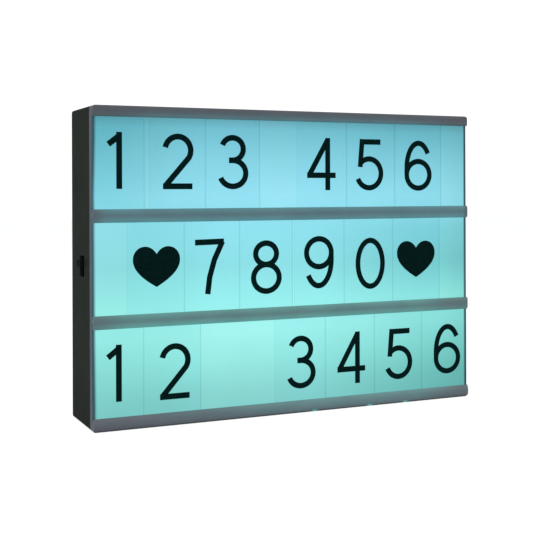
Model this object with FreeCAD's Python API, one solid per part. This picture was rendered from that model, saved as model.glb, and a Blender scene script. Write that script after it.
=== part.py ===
import FreeCAD, Part
import math
import os

# Cinema light box: a shallow lit case whose front carries three rows of sliding letter tiles.
# X runs along the front (right is +), the front faces -Y, +Z is up.
# The origin is the middle of the footprint, at the level the case stands on. All sizes in mm.

V = FreeCAD.Vector
CUT_OVER = 1.0

# Overall size
WIDTH = 300.0
HEIGHT = 220.0
DEPTH = 60.0
CASE_EDGE_R = 2.0
HOUSING_WALL = 2.2

# Front cover
PANEL_T = 2.0
RIM_DEPTH = 7.2
RIM_WALL = 1.5
SEAM_CHAMFER = 0.4
TONGUE_T = 1.0
TONGUE_REACH = 3.0
TONGUE_ROOT = 4.0
TONGUE_GAP = 0.1

# Rails across the front; the lowest row's opening is a little lower than the other two
RAIL_OUT = 2.4
BOTTOM_RAIL_OUT = 2.6
GROOVE_GAP = 1.0
TOP_RAIL_H = 7.6
MID_RAIL_H = 9.2
BOTTOM_RAIL_H = 9.2
BOTTOM_ROW_SHORT = 2.85
GROOVE_BELOW_ROW = 2.6
GROOVE_ABOVE_ROW = 4.2
LIP_FALL = 1.0
LIP_CURVE_UP = 1.8
LIP_CURVE_DOWN = 2.8
BOTTOM_LIP_FALL = 1.2
BOTTOM_LIP_CURVE = 4.0
BOTTOM_FOOT_FALL = 2.0
BOTTOM_FOOT_CURVE = 3.8
STUD_R = 1.0
STUD_GAP = 0.05
STUD_EDGE = 18.0
STUD_SHARES = (-1.0, -0.5, 0.0, 0.5, 1.0)

# Letter tiles
TILE_W = 41.3
END_TILE_W = 35.6
TILE_T = 0.5
TILE_SLACK_Z = 0.5
TILE_PANEL_GAP = 0.15
TILE_CORNER_R = 1.5
ROWS_WITH_END_TILE = ("top", "bottom")
# Placed by hand: the spaces before, between and after a row's tiles share out its free length
TILE_SPACES = {
    "top": (0.9, 3.4, 0.3, 29.4, 0.3, 0.3, 23.3),
    "middle": (24.0, 0.3, 0.3, 1.4, 0.5, 0.7, 25.0),
    "bottom": (0.0, 0.3, 56.7, 0.3, 0.3, 0.3, 0.0),
}

# Case screws, entering from the back
CASE_SCREW_EDGE_X = 40.0
CASE_SCREW_EDGE_Z = 7.0
WELL_R = 4.2
WELL_BORE_R = 3.2
WELL_FLOOR_T = 2.0
POST_R = 3.2
POST_LEN = 16.0
CASE_SHANK_R = 1.45
CASE_SHANK_LEN = 12.0
CASE_HEAD_R = 2.8
CASE_HEAD_T = 2.0
SCREW_HOLE_GAP = 0.25
PILOT_GAP = 0.05
PILOT_DEPTH = 13.0

# Pan head: crown radius and cross recess as parts of the head
HEAD_CROWN = 0.45
CROSS_ARM = 0.62
CROSS_WIDTH = 0.16
CROSS_DEPTH = 0.55

# Battery cells, their contacts and springs
CELL_R = 7.1
CELL_BODY_LEN = 49.2
CELL_EDGE_R = 0.5
CELL_NUB_R = 2.6
CELL_NUB_LEN = 1.0
CELL_ROWS = 3
CELL_SPACE = 0.4
CELL_FLOOR_GAP = 0.2
CELL_DOOR_GAP = 0.6
CONTACT_T = 0.4
CONTACT_W = 10.0
CONTACT_H = 11.0
SPRING_ROOM = 4.0
SPRING_END_GAP = 0.15
SPRING_WIRE_R = 0.3
SPRING_BASE_R = 3.4
SPRING_TURNS = 3
SPRING_TAPER = 0.35
SPRING_SIDES = 8
SPRING_SINK = 0.05

# Battery bay, set into the back
DIVIDER_T = 1.6
BAY_WALL = 1.6
BAY_BOTTOM_Z = 15.2
BAY_SLACK_Z = 0.8

# Battery door
DOOR_T = 2.0
DOOR_GAP = 0.3
DOOR_LEDGE = 1.2
DOOR_TAB_X = 36.0
DOOR_TAB_W = 12.0
DOOR_TAB_T = 0.8
DOOR_TAB_DROP = 3.4
TAB_SLACK = 0.5
SKIN_T = 0.7
LATCH_W = 14.0
LATCH_SLIT = 0.8
LATCH_SLIT_LEN = 9.0
LATCH_NIB = 0.2
LATCH_NIB_INSET = 1.0
GRIP_RIBS = 4
GRIP_RIB_PITCH = 2.0
GRIP_GROOVE_H = 1.0
GRIP_GROOVE_DEPTH = 0.4
GRIP_INSET_X = 1.5
GRIP_INSET_Z = 2.0
THUMB_R = 8.0
THUMB_DEPTH = 0.9
THUMB_REACH = 4.0

# Reflector plate and its standoffs
PLATE_T = 1.0
PLATE_BAY_GAP = 1.0
PLATE_EDGE_X = 4.5
PLATE_EDGE_Z = 12.0
PLATE_NOTCH_W = 21.5
PLATE_NOTCH_GAP = 0.5
STANDOFF_R = 3.0
STANDOFF_PIN_R = 1.5
STANDOFF_EDGE_X = 20.0
STANDOFF_EDGE_Z = 30.0
STANDOFF_BOARD_GAP = 10.0
PIN_GAP = 0.1
PIN_PROUD = 1.0

# Light strips
STRIP_END_GAP = 8.0
STRIP_W = 10.0
STRIP_T = 1.0
STRIP_SPACING = 74.0
LED_COUNT = 12
LED_SIZE = 5.0
LED_T = 1.6
LED_LENS_R = 1.9
LED_LENS_DEPTH = 0.4
LED_START = 20.5
LED_END = 10.5
STRIP_PAD_START = 8.0
STRIP_PAD_PITCH = 4.5
LEAD_HOLE_R = 0.9

# Keyholes for hanging
KEYHOLE_X = 100.0
KEYHOLE_DROP = 28.0
KEYHOLE_R = 4.5
KEYHOLE_SLOT_W = 4.2
KEYHOLE_SLOT_LEN = 9.0

# Power switch in the left wall
SWITCH_Y = 0.0
SLOT_MARGIN_Y = 1.2
SLOT_MARGIN_Z = 2.9
KNOB_Y = 9.6
KNOB_Z = 5.0
KNOB_OUT = 2.8
KNOB_EDGE_R = 0.6
KNOB_TRAVEL = 4.0
KNOB_STEM_Y = 3.0
KNOB_STEM_Z = 4.0
KNOB_FOOT_Y = 7.0
KNOB_FOOT_T = 1.2
KNOB_GRIPS = 3
KNOB_GRIP_DEPTH = 0.5
KNOB_GRIP_W = 0.8
SWITCH_FRAME_T = 0.6
SWITCH_FRAME_Y = 15.0
SWITCH_BODY_Y = 11.0
SWITCH_BODY_Z = 19.0
SWITCH_BODY_T = 7.4
SWITCH_SHELL_T = 1.2
SWITCH_FIT = 0.15
SWITCH_SCREW_R = 0.95
SWITCH_SCREW_HEAD_R = 1.8
SWITCH_SCREW_HEAD_T = 1.2
SWITCH_SCREW_HEAD_GAP = 0.5
SWITCH_SCREW_LEN = 3.6
SWITCH_BOSS_R = 2.2
SWITCH_BOSS_T = 3.0
SWITCH_PIN_DZ = 3.5
SWITCH_PIN_LEN = 2.4
SWITCH_PIN_T = 0.8

# Control board, with its parts placed from its lower left corner seen from the front
BOARD_EDGE_X = 30.0
BOARD_BELOW_MIDDLE = 26.0
BOARD_W = 44.0
BOARD_H = 30.0
BOARD_T = 1.6
BOARD_STANDOFF = 5.8
BOARD_SCREW_SPOTS = ((40.0, 26.5), (20.0, 3.5))
BOARD_BOSS_R = 2.6
BOARD_BOSS_FLOOR = 1.0
BOARD_SCREW_R = 1.0
BOARD_SCREW_LEN = 5.0
BOARD_HEAD_R = 1.9
BOARD_HEAD_T = 1.3
CHIP_SPOT = (20.0, 15.0)
CHIP_W = 5.0
CHIP_H = 4.0
CHIP_T = 1.5
CHIP_LEGS = 4
CHIP_LEG_PITCH = 1.27
CHIP_LEG_W = 0.4
CHIP_LEG_LEN = 1.0
CHIP_LEG_T = 0.4
RESISTOR_SPOT = (13.5, 16.0)
RESISTOR_COUNT = 4
RESISTOR_PITCH = 3.0
RESISTOR_W = 3.2
RESISTOR_H = 1.6
RESISTOR_T = 0.6
CAPACITOR_SPOT = (31.0, 20.0)
CAPACITOR_BASE = 6.6
CAPACITOR_BASE_T = 1.0
CAPACITOR_R = 3.1
CAPACITOR_H = 5.4

# Power inlet on the board, open to the back
INLET_SPOT = (22.0, 16.0)
INLET_W = 7.6
INLET_H = 2.8
INLET_SHEET = 0.3
INLET_FLOOR = 1.0
INLET_CORNER = 0.8
INLET_RECESS = 1.0
INLET_CUT_GAP = 0.4
INLET_FLARE = 0.8
TONGUE_W = 3.8
TONGUE_H = 0.7
TONGUE_LEN = 4.6
TONGUE_LIFT = 0.1

# Leads, routed by hand between the strips, the switch, the bay and pads on the board
LEAD_R = 0.6
LEAD_PLATE_GAP = 5.0
LEAD_PITCH = 4.0
LEAD_TURN = 6.0
ARC_SHARE = 0.45
STRIP_LEAD_PAD_X = 4.0
STRIP_LEAD_PAD_Z = 3.0
SWITCH_LEAD_PAD_X = 3.0
SWITCH_LEAD_PAD_Z = 14.0
SWITCH_LEAD_PITCH = 6.0
BATTERY_LEAD_PAD_X = 38.0
BATTERY_LEAD_PAD_Z = 6.0
BATTERY_LEAD_BELOW_BOARD = 8.0
BATTERY_LEAD_OUT = 10.6
BATTERY_LEAD_STEP = 2.0

# Derived planes and places
HALF_W = WIDTH / 2.0
MIDDLE_Z = HEIGHT / 2.0
BACK_Y = DEPTH / 2.0
PANEL_Y = -DEPTH / 2.0 + BOTTOM_RAIL_OUT
PANEL_BACK_Y = PANEL_Y + PANEL_T
SEAM_Y = PANEL_Y + RIM_DEPTH
BACK_IN_Y = BACK_Y - HOUSING_WALL
RAILS_H = TOP_RAIL_H + 2.0 * MID_RAIL_H + BOTTOM_RAIL_H
ROW_OPENING = (HEIGHT - RAILS_H + BOTTOM_ROW_SHORT) / 3.0
LOWER_RAIL_Z = BOTTOM_RAIL_H + ROW_OPENING - BOTTOM_ROW_SHORT
UPPER_RAIL_Z = LOWER_RAIL_Z + MID_RAIL_H + ROW_OPENING
ROW_FLOORS = {
    "top": UPPER_RAIL_Z + MID_RAIL_H - GROOVE_BELOW_ROW,
    "middle": LOWER_RAIL_Z + MID_RAIL_H - GROOVE_BELOW_ROW,
    "bottom": BOTTOM_RAIL_H - GROOVE_BELOW_ROW,
}
TILE_H = LOWER_RAIL_Z + GROOVE_ABOVE_ROW - ROW_FLOORS["bottom"] - TILE_SLACK_Z
MID_STUD_Z = GROOVE_ABOVE_ROW + (MID_RAIL_H - GROOVE_ABOVE_ROW - GROOVE_BELOW_ROW) / 2.0
STUD_ZS = {
    "top": HEIGHT - (TOP_RAIL_H - GROOVE_ABOVE_ROW) / 2.0,
    "upper": UPPER_RAIL_Z + MID_STUD_Z,
    "lower": LOWER_RAIL_Z + MID_STUD_Z,
    "bottom": (BOTTOM_RAIL_H - GROOVE_BELOW_ROW) / 2.0,
}
STUD_XS = [share * (HALF_W - STUD_EDGE) for share in STUD_SHARES]
CASE_SCREW_XS = (-HALF_W + CASE_SCREW_EDGE_X, 0.0, HALF_W - CASE_SCREW_EDGE_X)
CASE_SCREW_ZS = (CASE_SCREW_EDGE_Z, HEIGHT - CASE_SCREW_EDGE_Z)
CASE_SCREW_SPOTS = [(x, z) for x in CASE_SCREW_XS for z in CASE_SCREW_ZS]
POST_END_Y = PANEL_BACK_Y + POST_LEN
WELL_SEAT_Y = POST_END_Y + WELL_FLOOR_T
CELL_PITCH = 2.0 * CELL_R + CELL_SPACE
SPRING_PITCH = (SPRING_ROOM - SPRING_END_GAP - 2.0 * SPRING_WIRE_R + SPRING_SINK) / SPRING_TURNS
BAY_HALF_X = CELL_NUB_LEN + CELL_BODY_LEN + SPRING_ROOM + 2.0 * CONTACT_T + DIVIDER_T / 2.0
BAY_TOP_Z = BAY_BOTTOM_Z + CELL_ROWS * CELL_PITCH + BAY_SLACK_Z
DOOR_IN_Y = BACK_Y - DOOR_T
BAY_FLOOR_Y = DOOR_IN_Y - CELL_DOOR_GAP - 2.0 * CELL_R - CELL_FLOOR_GAP
CELL_Y = BAY_FLOOR_Y + CELL_FLOOR_GAP + CELL_R
DOOR_HALF_X = BAY_HALF_X + DOOR_LEDGE - DOOR_GAP
DOOR_Z0 = BAY_BOTTOM_Z - DOOR_LEDGE + DOOR_GAP
DOOR_Z1 = BAY_TOP_Z + DOOR_LEDGE - DOOR_GAP
HINGE_Y = BACK_Y - DOOR_T / 2.0
HINGE_Z = DOOR_Z0 + DOOR_T / 2.0
PLATE_BACK_Y = BAY_FLOOR_Y - BAY_WALL - PLATE_BAY_GAP
PLATE_Y = PLATE_BACK_Y - PLATE_T
PLATE_X = HALF_W - PLATE_EDGE_X
STRIP_Y = PLATE_Y - STRIP_T
STRIP_HALF_X = HALF_W - STRIP_END_GAP
STRIP_ZS = {"upper": MIDDLE_Z + STRIP_SPACING / 2.0, "lower": MIDDLE_Z - STRIP_SPACING / 2.0}
STRIP_PAD_XS = (-STRIP_HALF_X + STRIP_PAD_START, -STRIP_HALF_X + STRIP_PAD_START + STRIP_PAD_PITCH)
BOARD_BACK_Y = BACK_IN_Y - BOARD_STANDOFF
BOARD_FRONT_Y = BOARD_BACK_Y - BOARD_T
BOARD_X0 = -HALF_W + BOARD_EDGE_X
BOARD_X1 = BOARD_X0 + BOARD_W
BOARD_Z0 = MIDDLE_Z - BOARD_BELOW_MIDDLE
BOARD_Z1 = BOARD_Z0 + BOARD_H
BOARD_SCREWS = [(BOARD_X0 + x, BOARD_Z0 + z) for x, z in BOARD_SCREW_SPOTS]
INLET_X = BOARD_X0 + INLET_SPOT[0]
INLET_Z = BOARD_Z0 + INLET_SPOT[1]
STANDOFF_OUT_X = HALF_W - STANDOFF_EDGE_X
STANDOFF_IN_X = -BOARD_X1 - STANDOFF_BOARD_GAP
STANDOFF_ZS = (STANDOFF_EDGE_Z, HEIGHT - STANDOFF_EDGE_Z)
STANDOFFS = [(side * STANDOFF_OUT_X, z) for side in (-1.0, 1.0) for z in STANDOFF_ZS]
STANDOFFS += [(side * STANDOFF_IN_X, MIDDLE_Z) for side in (-1.0, 1.0)]
KEYHOLE_Z = HEIGHT - KEYHOLE_DROP
LEFT_IN_X = -HALF_W + HOUSING_WALL
FRAME_X = LEFT_IN_X + SWITCH_BOSS_T
SWITCH_Z = MIDDLE_Z
SWITCH_SLOT_Y = KNOB_Y + 2.0 * SLOT_MARGIN_Y
SWITCH_SLOT_Z = KNOB_Z + KNOB_TRAVEL + 2.0 * SLOT_MARGIN_Z
KNOB_REST_Z = SWITCH_Z + KNOB_TRAVEL / 2.0
SWITCH_SCREW_DZ = SWITCH_BODY_Z / 2.0 + SWITCH_SCREW_HEAD_R + SWITCH_SCREW_HEAD_GAP
SWITCH_EAR_Z = 2.0 * (SWITCH_SCREW_DZ + SWITCH_BOSS_R)
SWITCH_PIN_X = FRAME_X + SWITCH_FRAME_T + SWITCH_BODY_T
LEAD_Y = PLATE_BACK_Y + LEAD_PLATE_GAP


def block(x0, x1, y0, y1, z0, z1):
    return Part.makeBox(x1 - x0, y1 - y0, z1 - z0, V(x0, y0, z0))


def block_at(x0, x1, y, size_y, z, size_z):
    # A block between two x planes, centred on y and z
    return block(x0, x1, y - size_y / 2.0, y + size_y / 2.0, z - size_z / 2.0, z + size_z / 2.0)


def rod_y(r, y0, y1, x, z):
    return Part.makeCylinder(r, y1 - y0, V(x, y0, z), V(0, 1, 0))


def rod_x(r, x0, x1, y, z):
    return Part.makeCylinder(r, x1 - x0, V(x0, y, z), V(1, 0, 0))


def loop(corners):
    return Part.makePolygon(corners + [corners[0]])


def prism(corners, along):
    return Part.Face(loop(corners)).extrude(along)


def prism_x(points, x0, x1):
    # A y-z outline drawn at x0 and pushed along X to x1
    return prism([V(x0, y, z) for y, z in points], V(x1 - x0, 0, 0))


def prism_y(points, y0, y1):
    # An x-z outline drawn at y0 and pushed along Y to y1
    return prism([V(x, y0, z) for x, z in points], V(0, y1 - y0, 0))


def joined(shapes):
    whole = shapes[0]
    for shape in shapes[1:]:
        whole = whole.fuse(shape)
    return whole.removeSplitter()


def save(name, shape):
    shape.exportStep(os.path.join("parts", name + ".step"))


def rounded_wire(points):
    # A path through the points, each corner turned by the largest arc that its two runs allow
    edges = []
    start = points[0]
    for i in range(1, len(points) - 1):
        corner = points[i]
        toward = points[i - 1] - corner
        away = points[i + 1] - corner
        cut = ARC_SHARE * min(toward.Length, away.Length)
        toward.normalize()
        away.normalize()
        half = toward.getAngle(away) / 2.0
        bend = cut * math.tan(half)
        enter = corner + toward * cut
        leave = corner + away * cut
        middle_dir = (toward + away).normalize()
        centre = corner + middle_dir * (bend / math.sin(half))
        middle = centre - middle_dir * bend
        edges.append(Part.makeLine(start, enter))
        edges.append(Part.Arc(enter, middle, leave).toShape())
        start = leave
    edges.append(Part.makeLine(start, points[-1]))
    return Part.Wire(edges)


def wire_solid(r, points):
    ring = Part.Wire([Part.makeCircle(r, points[0], points[1] - points[0])])
    return rounded_wire(points).makePipeShell([ring], True, False)


# Housing
def in_plane(shape, y):
    # The shape's edges that lie at y
    return [e for e in shape.Edges if all(abs(v.Y - y) < 1e-6 for v in e.Vertexes)]


def case_form(y0, y1):
    # The case's outline between two depths, rounded at its four corners
    form = block(-HALF_W, HALF_W, y0, y1, 0, HEIGHT)
    corners = [e for e in form.Edges if abs(e.Vertexes[0].Y - e.Vertexes[1].Y) > 1e-6]
    return form.makeFillet(CASE_EDGE_R, corners)


def housing_shell():
    outer = block(-HALF_W, HALF_W, SEAM_Y, BACK_Y, 0, HEIGHT)
    outer_edges = [e for e in outer.Edges if any(abs(v.Y - BACK_Y) < 1e-6 for v in e.Vertexes)]
    outer = outer.makeFillet(CASE_EDGE_R, outer_edges)
    outer = outer.makeChamfer(SEAM_CHAMFER, in_plane(outer, SEAM_Y))
    w = HOUSING_WALL
    return outer.cut(block(-HALF_W + w, HALF_W - w, SEAM_Y, BACK_IN_Y, w, HEIGHT - w))


def seam_tongue():
    a = RIM_WALL + TONGUE_GAP
    b = a + TONGUE_T
    y0 = SEAM_Y - TONGUE_REACH
    y1 = SEAM_Y + TONGUE_ROOT
    ring = block(-HALF_W + a, HALF_W - a, y0, y1, a, HEIGHT - a)
    return ring.cut(block(-HALF_W + b, HALF_W - b, y0, y1, b, HEIGHT - b))


def screw_well_bore(x, z):
    bore = rod_y(WELL_BORE_R, WELL_SEAT_Y, BACK_Y, x, z)
    return bore.fuse(rod_y(CASE_SHANK_R + SCREW_HOLE_GAP, POST_END_Y, WELL_SEAT_Y, x, z))


def standoff(x, z):
    post = rod_y(STANDOFF_R, PLATE_BACK_Y, BACK_IN_Y, x, z)
    return post.fuse(rod_y(STANDOFF_PIN_R, PLATE_Y - PIN_PROUD, PLATE_BACK_Y, x, z))


def battery_bay():
    w = BAY_WALL
    half_x = BAY_HALF_X + w
    return block(-half_x, half_x, BAY_FLOOR_Y - w, BACK_IN_Y, BAY_BOTTOM_Z - w, BAY_TOP_Z + w)


def battery_bay_room():
    half = DIVIDER_T / 2.0
    left = block(-BAY_HALF_X, -half, BAY_FLOOR_Y, BACK_Y, BAY_BOTTOM_Z, BAY_TOP_Z)
    right = block(half, BAY_HALF_X, BAY_FLOOR_Y, BACK_Y, BAY_BOTTOM_Z, BAY_TOP_Z)
    return left.fuse(right)


def door_opening():
    g = DOOR_GAP
    half_x = DOOR_HALF_X + g
    opening = block(-half_x, half_x, DOOR_IN_Y, BACK_Y, DOOR_Z0 - g, DOOR_Z1 + g)
    # Relief behind the rounded hinge edge
    opening = opening.fuse(block(-half_x, half_x, DOOR_IN_Y - g, DOOR_IN_Y, DOOR_Z0 - g, HINGE_Z + DOOR_T))
    # Pockets under the skin for the swinging tabs
    reach = DOOR_TAB_DROP + TAB_SLACK
    half_tab = DOOR_TAB_W / 2.0 + TAB_SLACK
    pocket_top = HINGE_Z + DOOR_T / 2.0
    for x in (-DOOR_TAB_X, DOOR_TAB_X):
        a = x - half_tab
        b = x + half_tab
        opening = opening.fuse(block(a, b, HINGE_Y - reach, BACK_Y - SKIN_T, HINGE_Z - reach, pocket_top))
    # Thumb notch over the latch
    notch_top = DOOR_Z1 + g + THUMB_REACH
    notch = rod_y(THUMB_R, BACK_Y - THUMB_DEPTH, BACK_Y, 0, notch_top - THUMB_R)
    keep = block(-THUMB_R, THUMB_R, BACK_Y - THUMB_DEPTH, BACK_Y, DOOR_Z1, notch_top)
    return opening.fuse(notch.common(keep))


def keyhole(x):
    half = KEYHOLE_SLOT_W / 2.0
    slot_top = KEYHOLE_Z + KEYHOLE_SLOT_LEN
    entry = rod_y(KEYHOLE_R, BACK_IN_Y, BACK_Y, x, KEYHOLE_Z)
    slot = block(x - half, x + half, BACK_IN_Y, BACK_Y, KEYHOLE_Z, slot_top)
    return entry.fuse(slot).fuse(rod_y(half, BACK_IN_Y, BACK_Y, x, slot_top))


def switch_slot():
    return block_at(-HALF_W, LEFT_IN_X, SWITCH_Y, SWITCH_SLOT_Y, SWITCH_Z, SWITCH_SLOT_Z)


def switch_boss(side):
    z = SWITCH_Z + side * SWITCH_SCREW_DZ
    boss = rod_x(SWITCH_BOSS_R, LEFT_IN_X, FRAME_X, SWITCH_Y, z)
    return boss.cut(rod_x(SWITCH_SCREW_R + PILOT_GAP, LEFT_IN_X, FRAME_X, SWITCH_Y, z))


def board_boss(x, z):
    boss = rod_y(BOARD_BOSS_R, BOARD_BACK_Y, BACK_IN_Y, x, z)
    return boss.cut(rod_y(BOARD_SCREW_R + PILOT_GAP, BOARD_BACK_Y, BACK_IN_Y - BOARD_BOSS_FLOOR, x, z))


def inlet_mouth(y, grow):
    w = INLET_W / 2.0 + INLET_CUT_GAP + grow
    h = INLET_H / 2.0 + INLET_CUT_GAP + grow
    signs = ((-1, -1), (1, -1), (1, 1), (-1, 1))
    return loop([V(INLET_X + sx * w, y, INLET_Z + sz * h) for sx, sz in signs])


def inlet_cutout():
    hole = Part.Face(inlet_mouth(BACK_IN_Y, 0.0)).extrude(V(0, HOUSING_WALL, 0))
    mouths = [inlet_mouth(BACK_Y - INLET_FLARE, 0.0), inlet_mouth(BACK_Y, INLET_FLARE)]
    return hole.fuse(Part.makeLoft(mouths, True, True))


def battery_lead_hole(row):
    return rod_x(LEAD_HOLE_R, -BAY_HALF_X - BAY_WALL, -BAY_HALF_X, CELL_Y, cell_z(row))


def rear_housing():
    adds = [housing_shell(), seam_tongue(), battery_bay(), switch_boss(-1.0), switch_boss(1.0)]
    adds += [rod_y(WELL_R, POST_END_Y, BACK_IN_Y, x, z) for x, z in CASE_SCREW_SPOTS]
    adds += [standoff(x, z) for x, z in STANDOFFS]
    adds += [board_boss(x, z) for x, z in BOARD_SCREWS]
    shell = joined(adds)
    cuts = [screw_well_bore(x, z) for x, z in CASE_SCREW_SPOTS]
    cuts += [battery_bay_room(), door_opening(), keyhole(-KEYHOLE_X), keyhole(KEYHOLE_X)]
    cuts += [battery_lead_hole(0), battery_lead_hole(CELL_ROWS - 1), switch_slot(), inlet_cutout()]
    for cut in cuts:
        shell = shell.cut(cut)
    return shell.removeSplitter()


# Front cover and rails
def front_panel():
    r = RIM_WALL
    cover = case_form(PANEL_Y, SEAM_Y)
    cover = cover.makeChamfer(SEAM_CHAMFER, in_plane(cover, SEAM_Y))
    cover = cover.cut(block(-HALF_W + r, HALF_W - r, PANEL_BACK_Y, SEAM_Y, r, HEIGHT - r))
    cover = joined([cover] + [rod_y(POST_R, PANEL_BACK_Y, POST_END_Y, x, z) for x, z in CASE_SCREW_SPOTS])
    for x, z in CASE_SCREW_SPOTS:
        cover = cover.cut(rod_y(CASE_SHANK_R + PILOT_GAP, POST_END_Y - PILOT_DEPTH, POST_END_Y, x, z))
    for z in STUD_ZS.values():
        for x in STUD_XS:
            cover = cover.cut(rod_y(STUD_R + STUD_GAP, PANEL_Y, PANEL_BACK_Y, x, z))
    return cover


def lip_curve(front, z_edge, rise, fall):
    # Three points of the arc that runs from a lip's edge into the rail's flat front; rise is up to the flat
    r = (fall ** 2 + rise ** 2) / (2.0 * fall)
    half = math.asin(rise / r) / 2.0
    z_flat = z_edge + rise
    edge = V(-HALF_W, front + fall, z_edge)
    middle = V(-HALF_W, front + r * (1.0 - math.cos(half)), z_flat - r * math.sin(half))
    return [edge, middle, V(-HALF_W, front, z_flat)]


def rail(upper, lower, behind, stud_z):
    # upper and lower are the lips' curves; behind is the outline from the lower lip's edge to the upper one's
    corners = [lower[0]] + [V(-HALF_W, y, z) for y, z in behind] + [upper[0]]
    outline = [Part.makeLine(a, b) for a, b in zip(corners, corners[1:])]
    outline += [Part.Arc(*upper).toShape(), Part.makeLine(upper[2], lower[2])]
    outline += [Part.Arc(*reversed(lower)).toShape()]
    body = Part.Face(Part.Wire(outline)).extrude(V(WIDTH, 0, 0))
    body = body.common(case_form(lower[2].y - CUT_OVER, PANEL_Y))
    return joined([body] + [rod_y(STUD_R, PANEL_Y, PANEL_BACK_Y, x, stud_z) for x in STUD_XS])


def top_rail():
    front = PANEL_Y - RAIL_OUT
    inner = PANEL_Y - GROOVE_GAP
    z0 = HEIGHT - TOP_RAIL_H
    web = z0 + GROOVE_ABOVE_ROW
    upper = lip_curve(front, HEIGHT, -LIP_CURVE_UP, LIP_FALL)
    lower = lip_curve(front, z0, LIP_CURVE_UP, LIP_FALL)
    behind = [(inner, z0), (inner, web), (PANEL_Y, web), (PANEL_Y, HEIGHT)]
    return rail(upper, lower, behind, STUD_ZS["top"])


def middle_rail(z0, stud_z):
    front = PANEL_Y - RAIL_OUT
    inner = PANEL_Y - GROOVE_GAP
    z1 = z0 + MID_RAIL_H
    low = z0 + GROOVE_ABOVE_ROW
    high = z1 - GROOVE_BELOW_ROW
    upper = lip_curve(front, z1, -LIP_CURVE_UP, LIP_FALL)
    lower = lip_curve(front, z0, LIP_CURVE_DOWN, LIP_FALL)
    behind = [(inner, z0), (inner, low), (PANEL_Y, low), (PANEL_Y, high), (inner, high), (inner, z1)]
    return rail(upper, lower, behind, stud_z)


def bottom_rail():
    # Its front bulges: both curves are tall and leave a narrow flat between them
    front = PANEL_Y - BOTTOM_RAIL_OUT
    inner = PANEL_Y - GROOVE_GAP
    high = BOTTOM_RAIL_H - GROOVE_BELOW_ROW
    upper = lip_curve(front, BOTTOM_RAIL_H, -BOTTOM_LIP_CURVE, BOTTOM_LIP_FALL)
    lower = lip_curve(front, 0, BOTTOM_FOOT_CURVE, BOTTOM_FOOT_FALL)
    behind = [(PANEL_Y, 0), (PANEL_Y, high), (inner, high), (inner, BOTTOM_RAIL_H)]
    return rail(upper, lower, behind, STUD_ZS["bottom"])


# Letter tiles
def tile_spans(row):
    # Each tile's left and right ends along X
    spaces = TILE_SPACES[row]
    widths = [TILE_W] * (len(spaces) - 1)
    if row in ROWS_WITH_END_TILE:
        widths[0] = END_TILE_W
    share = (WIDTH - sum(widths)) / sum(spaces)
    spans = []
    x = -HALF_W
    for space, width in zip(spaces, widths):
        x += space * share
        spans.append((x, x + width))
        x += width
    return spans


def tile(row, span):
    y1 = PANEL_Y - TILE_PANEL_GAP
    z0 = ROW_FLOORS[row]
    plate = block(span[0], span[1], y1 - TILE_T, y1, z0, z0 + TILE_H)
    corners = [e for e in plate.Edges if abs(e.Vertexes[0].Y - e.Vertexes[1].Y) > TILE_T / 2.0]
    return plate.makeFillet(TILE_CORNER_R, corners)


# Reflector and light strips
def reflector_plate():
    plate = block(-PLATE_X, PLATE_X, PLATE_Y, PLATE_BACK_Y, PLATE_EDGE_Z, HEIGHT - PLATE_EDGE_Z)
    for x, z in STANDOFFS:
        plate = plate.cut(rod_y(STANDOFF_PIN_R + PIN_GAP, PLATE_Y, PLATE_BACK_Y, x, z))
    for x in STRIP_PAD_XS:
        for z in STRIP_ZS.values():
            plate = plate.cut(rod_y(LEAD_HOLE_R, PLATE_Y, PLATE_BACK_Y, x, z))
    reach = SWITCH_EAR_Z / 2.0 + PLATE_NOTCH_GAP
    notch_x = -PLATE_X + PLATE_NOTCH_W
    return plate.cut(block(-PLATE_X, notch_x, PLATE_Y, PLATE_BACK_Y, SWITCH_Z - reach, SWITCH_Z + reach))


def light_strip(z):
    strip = block(-STRIP_HALF_X, STRIP_HALF_X, STRIP_Y, PLATE_Y, z - STRIP_W / 2.0, z + STRIP_W / 2.0)
    for x in STRIP_PAD_XS:
        strip = strip.cut(rod_y(LEAD_HOLE_R, STRIP_Y, PLATE_Y, x, z))
    return strip


def leds(z):
    half = LED_SIZE / 2.0
    first = -STRIP_HALF_X + LED_START
    step = (STRIP_HALF_X - LED_END - first) / (LED_COUNT - 1)
    front = STRIP_Y - LED_T
    solids = []
    for i in range(LED_COUNT):
        x = first + i * step
        body = block(x - half, x + half, front, STRIP_Y, z - half, z + half)
        solids.append(body.cut(rod_y(LED_LENS_R, front, front + LED_LENS_DEPTH, x, z)))
    return Part.makeCompound(solids)


# Batteries and contacts
def cell_z(row):
    return BAY_BOTTOM_Z + BAY_SLACK_Z / 2.0 + CELL_PITCH * (row + 0.5)


def nub_outward(side, row):
    # Neighbouring cells lie head to tail
    return (row % 2 == 0) == (side > 0)


def rod_between(r, side, near, far, row):
    # A rod along X, given by its two distances from the divider's middle plane
    x0, x1 = sorted((side * near, side * far))
    return rod_x(r, x0, x1, CELL_Y, cell_z(row))


def cells(side):
    near = DIVIDER_T / 2.0 + CONTACT_T
    far = BAY_HALF_X - CONTACT_T
    solids = []
    for row in range(CELL_ROWS):
        if nub_outward(side, row):
            shoulder = far - CELL_NUB_LEN
            can = rod_between(CELL_R, side, shoulder - CELL_BODY_LEN, shoulder, row)
            nub = rod_between(CELL_NUB_R, side, shoulder, far, row)
        else:
            shoulder = near + CELL_NUB_LEN
            can = rod_between(CELL_R, side, shoulder, shoulder + CELL_BODY_LEN, row)
            nub = rod_between(CELL_NUB_R, side, near, shoulder, row)
        can = can.makeFillet(CELL_EDGE_R, [e for e in can.Edges if e.Closed])
        solids.append(joined([can, nub]))
    return Part.makeCompound(solids)


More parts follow.
